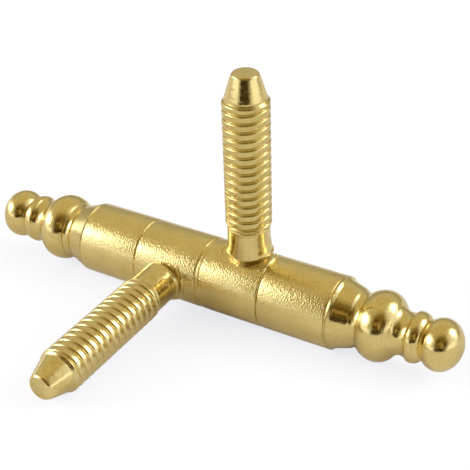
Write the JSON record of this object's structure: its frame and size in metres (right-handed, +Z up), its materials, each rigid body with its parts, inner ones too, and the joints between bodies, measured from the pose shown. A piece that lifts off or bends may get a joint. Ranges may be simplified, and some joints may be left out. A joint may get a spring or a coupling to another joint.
{
  "type": "screw-in barrel hinge",
  "caption": "Brass-plated barrel hinge with turned ball finials and threaded shanks that screw into door and frame; the upper half turns on a pin and lifts off.",
  "frame": {"origin": "where the axis of the lower, fixed shank crosses the axis of the pin", "axes": "+Z up along the pin, as hung; +X out along the lower shank, into the frame post"},
  "size_m": [0.0509, 0.0509, 0.1021],
  "materials": {
    "plated_barrel": "brass-plated steel, satin drawn tube with fine scratches",
    "plated_shank": "brass-plated steel, rolled thread, semi-bright",
    "turned_brass": "turned and polished brass",
    "pin_steel": "ground steel",
    "bush_brass": "plain machined brass",
    "washer_brass": "stamped brass, dull"
  },
  "bodies": {
    "lower_half": {"lower_knuckle": "plated_barrel", "lower_sleeve": "plated_barrel", "lower_finial": "turned_brass", "lower_shank": "plated_shank", "hinge_pin": "pin_steel"},
    "washer": {"thrust_washer": "washer_brass"},
    "upper_half": {"pivot_bush": "bush_brass", "upper_knuckle": "plated_barrel", "upper_sleeve": "plated_barrel", "upper_finial": "turned_brass", "upper_shank": "plated_shank"}
  },
  "joints": [
    {"name": "lift_off", "type": "slide", "parent": "lower_half", "child": "washer", "axis": [0, 0, 1], "range_m": [0, 0.0205]},
    {"name": "door_swing", "type": "hinge", "parent": "washer", "child": "upper_half", "pos_m": [0, 0, 0.01569], "axis": [0, 0, 1], "continuous": true}
  ]
}
